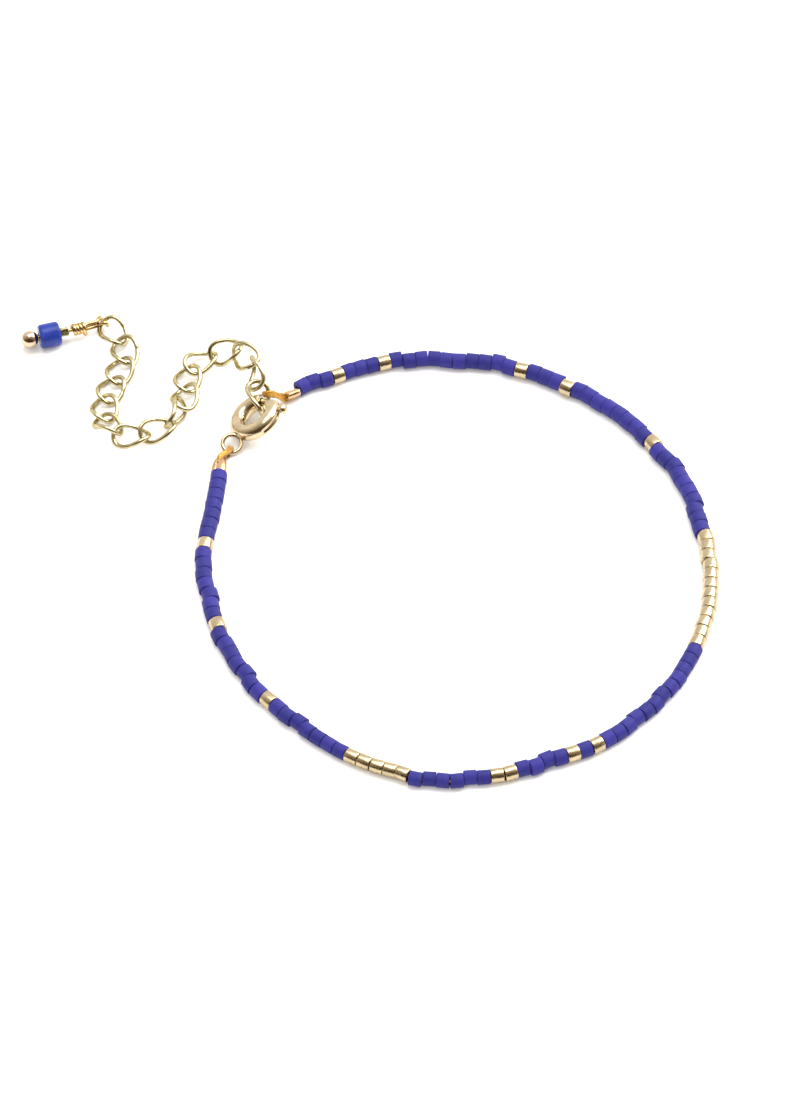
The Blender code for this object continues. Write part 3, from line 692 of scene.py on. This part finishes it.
def build_wire_loop(side, catch, run, catch_radius):
    """The doubled wire out of a crimp: a flat pair that goes over what it holds and back under
    it, thinner where it lies between that piece and the table.
    """
    centre, away, wide = crimp_place(side)
    thick = np.cross(away, wide)
    thick = thick * (1 if thick[2] > 0 else -1)
    legs = thick * (WIRE_RADIUS * 1.02)
    mouth = centre + away * (CRIMP_LENGTH[side] / 2)
    corners = hook(mouth, away, legs, catch, run, catch_radius, WIRE_RADIUS)
    inside = mouth - away * WIRE_IN_CRIMP
    path = smooth_path(np.vstack([inside + legs, corners, inside - legs]), 6)
    room = np.clip(path[:, 2] / (PAIR_THINS_BELOW * WIRE_RADIUS), PAIR_THINNEST, 1.0)
    path[:, 2] = np.maximum(path[:, 2], room * WIRE_RADIUS + PAIR_OFF_TABLE)
    pair = paired_section()
    made = surface(f"wire_loop_{side}_wire", [swept(path, WIRE_RADIUS * room, run, pair)])
    dress(made, AMBER, "wire_amber", f"wire_loop_{side}")


# Chain

def node_points(name):
    """A solid's distinct corners as rows."""
    mesh = frame["nodes"][name].data
    rows = np.empty(len(mesh.vertices) * 3)
    mesh.vertices.foreach_get("co", rows)
    return np.unique(np.round(rows.reshape(-1, 3), 8), axis=0)


def link_frame(number):
    """A link's centre and its long, wide and thin axes: the directions in which its corners
    spread most, less and least, turned to a right-handed set.
    """
    rows = node_points(f"chain_link_{number:02d}")
    centre = rows.mean(axis=0)
    _, _, axes = np.linalg.svd(rows - centre, full_matrices=False)
    axes[2] = np.cross(axes[0], axes[1])
    return centre, axes


def link_curve(number, turns):
    """Points of a link's centreline: an ellipse in its flat that rises as the sine of twice
    the turn.
    """
    centre, axes = link_frame(number)
    local = np.stack([
        LINK_HALF_LENGTH * np.cos(turns), LINK_HALF_WIDTH * np.sin(turns),
        LINK_TWIST * np.sin(2 * turns),
    ], axis=-1)
    return centre + local @ axes


def build_links():
    """The chain's links, each its own wire whose radius dips, as a bell curve, at the butt
    joint on one side.
    """
    turns = np.linspace(0.0, 2 * math.pi, 72, endpoint=False)
    for number in range(1, LINK_COUNT + 1):
        _, axes = link_frame(number)
        path = link_curve(number, turns)
        butt = np.exp(-((turns - 0.5 * math.pi) / LINK_BUTT_WIDTH) ** 2)
        radius = LINK_WIRE_RADIUS * (0.98 - LINK_BUTT_DEPTH * butt)
        wire = swept(path, radius, axes[2], round_section(16), True)
        made = surface(f"chain_link_{number:02d}_wire", [wire])
        dress(made, CHAIN, "chain_gold", f"chain_link_{number:02d}")


def link_catch(number, degrees, forward, side):
    """A point of a link's centreline and the direction there, at a turn counted from the link's
    forward end towards one side. The link's axes may come out reversed, so each is compared with
    the direction that it is meant to have.
    """
    _, axes = link_frame(number)
    forward_sign, side_sign = np.sign([np.dot(axes[0], forward), np.dot(axes[1], side)])
    asked = math.radians(degrees)
    turn = math.atan2(side_sign * math.sin(asked), forward_sign * math.cos(asked))
    before, point, after = link_curve(number, turn + np.array([-0.02, 0.0, 0.02]))
    return point, unit(after - before)


# Clasp

joint = frame["joints"][0]
clasp_centre = np.array(joint["pos_m"])
clasp_normal = -unit(joint["axis"])
clasp_x = np.array(CLASP_OPENING_DIRECTION)
clasp_x = unit(clasp_x - clasp_normal * np.dot(clasp_x, clasp_normal))
clasp_y = np.cross(clasp_normal, clasp_x)


def clasp_point(degrees, radius):
    """Points on a circle round the clasp's axis."""
    turn = np.radians(degrees)
    return clasp_centre + radius * (
        np.cos(turn)[..., None] * clasp_x + np.sin(turn)[..., None] * clasp_y
    )


def clasp_tube(degrees, radius, count):
    """A tube section at each angle round the ring, with its own radius at each."""
    turn = np.radians(degrees)
    out = np.cos(turn)[:, None] * clasp_x + np.sin(turn)[:, None] * clasp_y
    ring = round_section(count)
    radius = np.asarray(radius)
    if radius.ndim == 1:
        radius = radius[:, None]
    spokes = ring[None, :, :1] * out[:, None] + ring[None, :, 1:] * clasp_normal
    return clasp_point(degrees, CLASP_RADIUS)[:, None] + radius[..., None] * spokes


def build_clasp_ring():
    """A hollow ring: the tube's outer wall one way round, its lips, and its bore back again. A
    groove for the knob is pressed into the outer side by a smooth step in the radius.
    """
    gap, lip, count = OPENING_HALF_ANGLE, LIP_ANGLE, 48
    wall, bore = CLASP_TUBE_RADIUS, CLASP_BORE_RADIUS
    outer = np.linspace(gap + lip, 360.0 - gap - lip, 150)
    inner = np.linspace(360.0 - gap, gap, 80)
    degrees = np.concatenate([[gap + 0.3], outer, [360.0 - gap - 0.3, 360.0 - gap], inner, [gap]])
    radius = np.concatenate([
        [wall - 0.03 * MM], np.full(len(outer), wall), [wall - 0.03 * MM, wall - 0.1 * MM],
        np.full(len(inner), bore), [wall - 0.1 * MM],
    ])
    sides = np.degrees(np.angle(np.exp(1j * np.linspace(0.0, 2 * math.pi, count, endpoint=False))))
    slot_start = 360.0 + KNOB_ANGLE - KNOB_TRAVEL - SLOT_MARGIN
    slot_end = 360.0 + KNOB_ANGLE + SLOT_MARGIN
    past_start = 1 / (1 + np.exp((slot_start - degrees) / SLOT_SOFTNESS))
    before_end = 1 / (1 + np.exp((degrees - slot_end) / SLOT_SOFTNESS))
    across = np.exp(-(sides / SLOT_HALF_WIDTH) ** 6)
    on_wall = radius > bore * 1.2
    depth = (past_start * before_end * on_wall)[:, None] * across[None, :] * SLOT_DEPTH
    grid = clasp_tube(degrees, radius[:, None] - depth, count)
    ear_out, ear_across, ear_centre = ear_frame()
    turns = np.linspace(0.0, 2 * math.pi, 64, endpoint=False)[:, None]
    loop = ear_centre + (ear_out * np.cos(turns) + ear_across * np.sin(turns)) * EAR_RADIUS
    ear = swept(loop, EAR_WIRE_RADIUS, np.cross(ear_out, ear_across), round_section(16), True)
    made = surface("clasp_ring_tube", [(grid, True, True), ear], 50.0)
    dress(made, CLASP, "clasp_gold", "clasp_ring")


def ear_frame():
    """The ear's outward and crosswise directions and its centre."""
    turn = math.radians(EAR_ANGLE)
    out = clasp_x * math.cos(turn) + clasp_y * math.sin(turn)
    axis = turned_about(clasp_normal, out, -EAR_TWIST)
    return out, np.cross(axis, out), clasp_centre + out * EAR_REACH


def build_clasp_bolt():
    """The curved bolt, its tip rounded off, with its knob on a stem."""
    degrees = np.concatenate([
        [BOLT_TAIL_ANGLE], np.linspace(BOLT_TAIL_ANGLE, BOLT_TIP_ANGLE - 6.0, 30),
        BOLT_TIP_ANGLE - np.array([4.0, 2.0, 0.6, 0.0, 0.0]),
    ])
    share = np.concatenate([[0.0], np.full(30, 1.0), [0.97, 0.85, 0.6, 0.3, 0.0]])
    grid = clasp_tube(degrees, share * BOLT_RADIUS, 24)
    out = unit(clasp_point(np.array(KNOB_ANGLE), 1.0) - clasp_centre)
    head = CLASP_RADIUS + CLASP_TUBE_RADIUS + 0.5 * CLEARANCE + KNOB_RADIUS * KNOB_FLATNESS
    rise = np.linspace(0.0, math.pi, 16)
    ball = np.stack([
        np.sin(rise) * KNOB_RADIUS, head - np.cos(rise) * KNOB_RADIUS * KNOB_FLATNESS,
    ], axis=-1)
    stem = np.array([
        (0.0, CLASP_RADIUS), (KNOB_STEM_RADIUS, CLASP_RADIUS), (KNOB_STEM_RADIUS, head - 0.4 * MM),
        (0.0, head - 0.4 * MM),
    ])
    made = surface("clasp_bolt_knob", [
        (grid, False, True), turned(ball, clasp_centre, out, 24, False),
        turned(stem, clasp_centre, out, 12, False),
    ], 50.0)
    dress(made, CLASP, "clasp_gold", "clasp_bolt", body="bolt")


# Drop

def build_drop():
    """The pin with its ball; its coil, a helix whose pitch and radius waver by sines of the
    turn; its neck and loop; the glossy bead; and the little square tube.
    """
    yaw = math.radians(DROP_YAW)
    toward = np.array([math.cos(yaw), math.sin(yaw), 0.0])
    last_way = link_frame(LINK_COUNT)[0] - link_frame(LINK_COUNT - 1)[0]
    side_way = np.array([1.0, 0.0, 0.0])
    catch, _ = link_catch(LINK_COUNT, DROP_CATCH_TURN, last_way, side_way)
    neck = np.array([catch[0], catch[1], DROP_AXIS_HEIGHT]) - toward * DROP_NECK
    side = np.cross(UP, toward)

    rise = np.linspace(0.0, math.pi, 28)
    ball = np.stack([
        np.sin(rise) * DROP_BALL_RADIUS, -DROP_BALL_AT - np.cos(rise) * DROP_BALL_RADIUS,
    ], axis=-1)
    made = surface("drop_pin_ball", [turned(ball, neck, toward, 32, False)])
    dress(made, BALL, "clasp_gold")

    pin = np.stack([neck - toward * DROP_BALL_AT, neck + toward * DROP_PIN_PAST_NECK])
    pin = along(pin, np.linspace(0.0, DROP_BALL_AT + DROP_PIN_PAST_NECK, 12))
    share = np.linspace(0.0, 1.0, 130)[:, None]
    turns = 2 * math.pi * DROP_COIL_TURNS * share
    wavering = (turns + 0.5 * np.sin(1.3 * turns)) / (2 * math.pi)
    reach = DROP_COIL_START - DROP_COIL_PITCH * wavering
    tail = DROP_COIL_TAIL * np.clip((share - 0.95) / 0.05, 0.0, 1.0)
    swell = DROP_COIL_RADIUS + DROP_COIL_SWELL * np.sin(0.7 * turns) + tail
    coil = neck - toward * reach + (side * np.cos(turns) + UP * np.sin(turns)) * swell
    caught, caught_run = link_catch(LINK_COUNT, DROP_HOOK_TURN, last_way, side_way)
    lean = unit(caught - neck)
    legs = unit(UP - lean * lean[2] + 0.5 * np.cross(UP, lean)) * DROP_WIRE_RADIUS
    throat = neck + lean * (np.linalg.norm(caught - neck) - DROP_THROAT)
    corners = hook(neck, lean, legs, caught, caught_run, LINK_WIRE_RADIUS, DROP_WIRE_RADIUS)
    loop = smooth_path(
        np.vstack([corners[:2], throat + legs, corners[2:-2], throat - legs, corners[-2:]]), 8
    )
    made = surface("drop_pin_wire", [
        swept(pin, DROP_WIRE_RADIUS, UP, round_section(14)),
        swept(coil, DROP_WIRE_RADIUS, toward, round_section(14)),
        swept(loop, DROP_WIRE_RADIUS, caught_run, round_section(14)),
    ])
    dress(made, DROP_WIRE, "clasp_gold", "drop_pin")

    corners = (
        (DROP_BORE, DROP_BEAD_HALF), (DROP_BEAD_RADIUS, DROP_BEAD_HALF),
        (DROP_BEAD_RADIUS, -DROP_BEAD_HALF), (DROP_BORE, -DROP_BEAD_HALF),
    )
    profile = rounded(corners, DROP_BEAD_EDGE, 6)[::-1]
    made = surface("drop_bead_glass", [turned(profile, neck - toward * DROP_BEAD_AT, toward, 48)])
    dress(made, DROP_BLUE, "drop_blue", "drop_bead")

    square = np.linspace(0.0, 2 * math.pi, 32, endpoint=False)
    out_of_round = DROP_TUBE_SQUARENESS * np.cos(4 * square)
    corners = (
        (DROP_BORE, DROP_TUBE_HALF), (DROP_TUBE_RADIUS, DROP_TUBE_HALF),
        (DROP_TUBE_RADIUS, -DROP_TUBE_HALF), (DROP_BORE, -DROP_TUBE_HALF),
    )
    profile = rounded(corners, DROP_TUBE_EDGE)[::-1]
    centre = neck - toward * DROP_TUBE_AT
    made = surface(
        "drop_tube_collar", [turned(profile, centre, toward, 32, out_of_round=out_of_round)]
    )
    dress(made, OLIVE, "clasp_gold", "drop_tube")


build_crimp("clasp")
build_crimp("chain")
build_links()
build_clasp_ring()
build_clasp_bolt()
ear_out, ear_across, ear_centre = ear_frame()
ear_axis = np.cross(ear_out, ear_across)
catch_out = turned_about(ear_out, ear_axis, EAR_CATCH_TURN)
ear_catch = ear_centre + catch_out * EAR_RADIUS
build_wire_loop("clasp", ear_catch, np.cross(ear_axis, catch_out), EAR_WIRE_RADIUS)
first_way = link_frame(2)[0] - link_frame(1)[0]
first_catch, first_run = link_catch(1, CHAIN_CATCH_TURN, first_way, -UP)
build_wire_loop("chain", first_catch, first_run, LINK_WIRE_RADIUS)
build_drop()


# Floor, light and camera

floor = surface("white_floor", [(
    np.array([[(-1.2, -1.2, 0.0), (1.2, -1.2, 0.0)], [(-1.2, 1.2, 0.0), (1.2, 1.2, 0.0)]]),
    False, False,
)])
floor.data.materials.append(FLOOR)


def softbox(name, place, size, power):
    """A square area light at a place, turned to the middle of the table."""
    lamp = bpy.data.lights.new(name, "AREA")
    lamp.shape = "SQUARE"
    lamp.size = size
    lamp.energy = power
    made = bpy.data.objects.new(name, lamp)
    made.location = place
    made.rotation_mode = "QUATERNION"
    made.rotation_quaternion = (-Vector(place)).to_track_quat("-Z", "Y")
    bpy.context.scene.collection.objects.link(made)
    return made


softbox("window_right", (0.42, 0.30, 0.52), 0.55, 5.6)
softbox("overhead", (-0.05, 0.1, 0.8), 0.5, 3.2)
near_fill = softbox("near_fill", (-0.15, -0.6, 0.5), 0.8, 4.5)
near_fill.visible_glossy = False

# The side of the room that is bright, the walls' colours from the dark side to it, and how
# strongly they shine
BRIGHT_SIDE = (0.0, 0.45, 0.14)
WALL_STOPS = (
    (0.0, (0.05, 0.035, 0.02)), (0.24, (0.08, 0.06, 0.035)), (0.38, (0.3, 0.24, 0.17)),
    (0.6, (0.6, 0.56, 0.5)), (0.78, (0.97, 0.95, 0.92)), (1.0, (1.0, 1.0, 1.0)),
)
WALL_STRENGTH = 1.25


def studio_walls():
    """The room as a world: white beyond the table, half dark overhead and dark on the near
    side, by the direction's dot product with the bright side.
    """
    world = bpy.data.worlds.new("studio")
    bpy.context.scene.world = world
    world.use_nodes = True
    tree = world.node_tree
    way = node(tree, "ShaderNodeTexCoord")
    facing = node(tree, "ShaderNodeVectorMath", operation="DOT_PRODUCT")
    facing.inputs[1].default_value = BRIGHT_SIDE
    tree.links.new(way.outputs["Generated"], facing.inputs[0])
    ramp = node(tree, "ShaderNodeValToRGB")
    share = spread(tree, facing.outputs["Value"], 0.0, 1.0, -0.5, 0.5)
    tree.links.new(share, ramp.inputs["Fac"])
    while len(ramp.color_ramp.elements) < len(WALL_STOPS):
        ramp.color_ramp.elements.new(0.5)
    for element, (place, colour) in zip(ramp.color_ramp.elements, WALL_STOPS):
        element.position = place
        element.color = (*colour, 1.0)
    background = tree.nodes["Background"]
    tree.links.new(ramp.outputs["Color"], background.inputs["Color"])
    background.inputs["Strength"].default_value = WALL_STRENGTH


studio_walls()
bpy.context.scene.view_settings.view_transform = "Standard"

camera = bpy.data.objects.new("camera", bpy.data.cameras.new("camera"))
camera.data.lens = CAMERA_LENS
camera.data.sensor_width = 36.0
camera.data.clip_start = 0.01
camera.data.clip_end = 10.0
back = np.array([0.0, -math.cos(CAMERA_ELEVATION), math.sin(CAMERA_ELEVATION)])
camera.location = CAMERA_AIM + back * CAMERA_DISTANCE
camera.rotation_mode = "QUATERNION"
camera.rotation_quaternion = Vector(-back).to_track_quat("-Z", "Y")
bpy.context.scene.collection.objects.link(camera)
bpy.context.scene.camera = camera
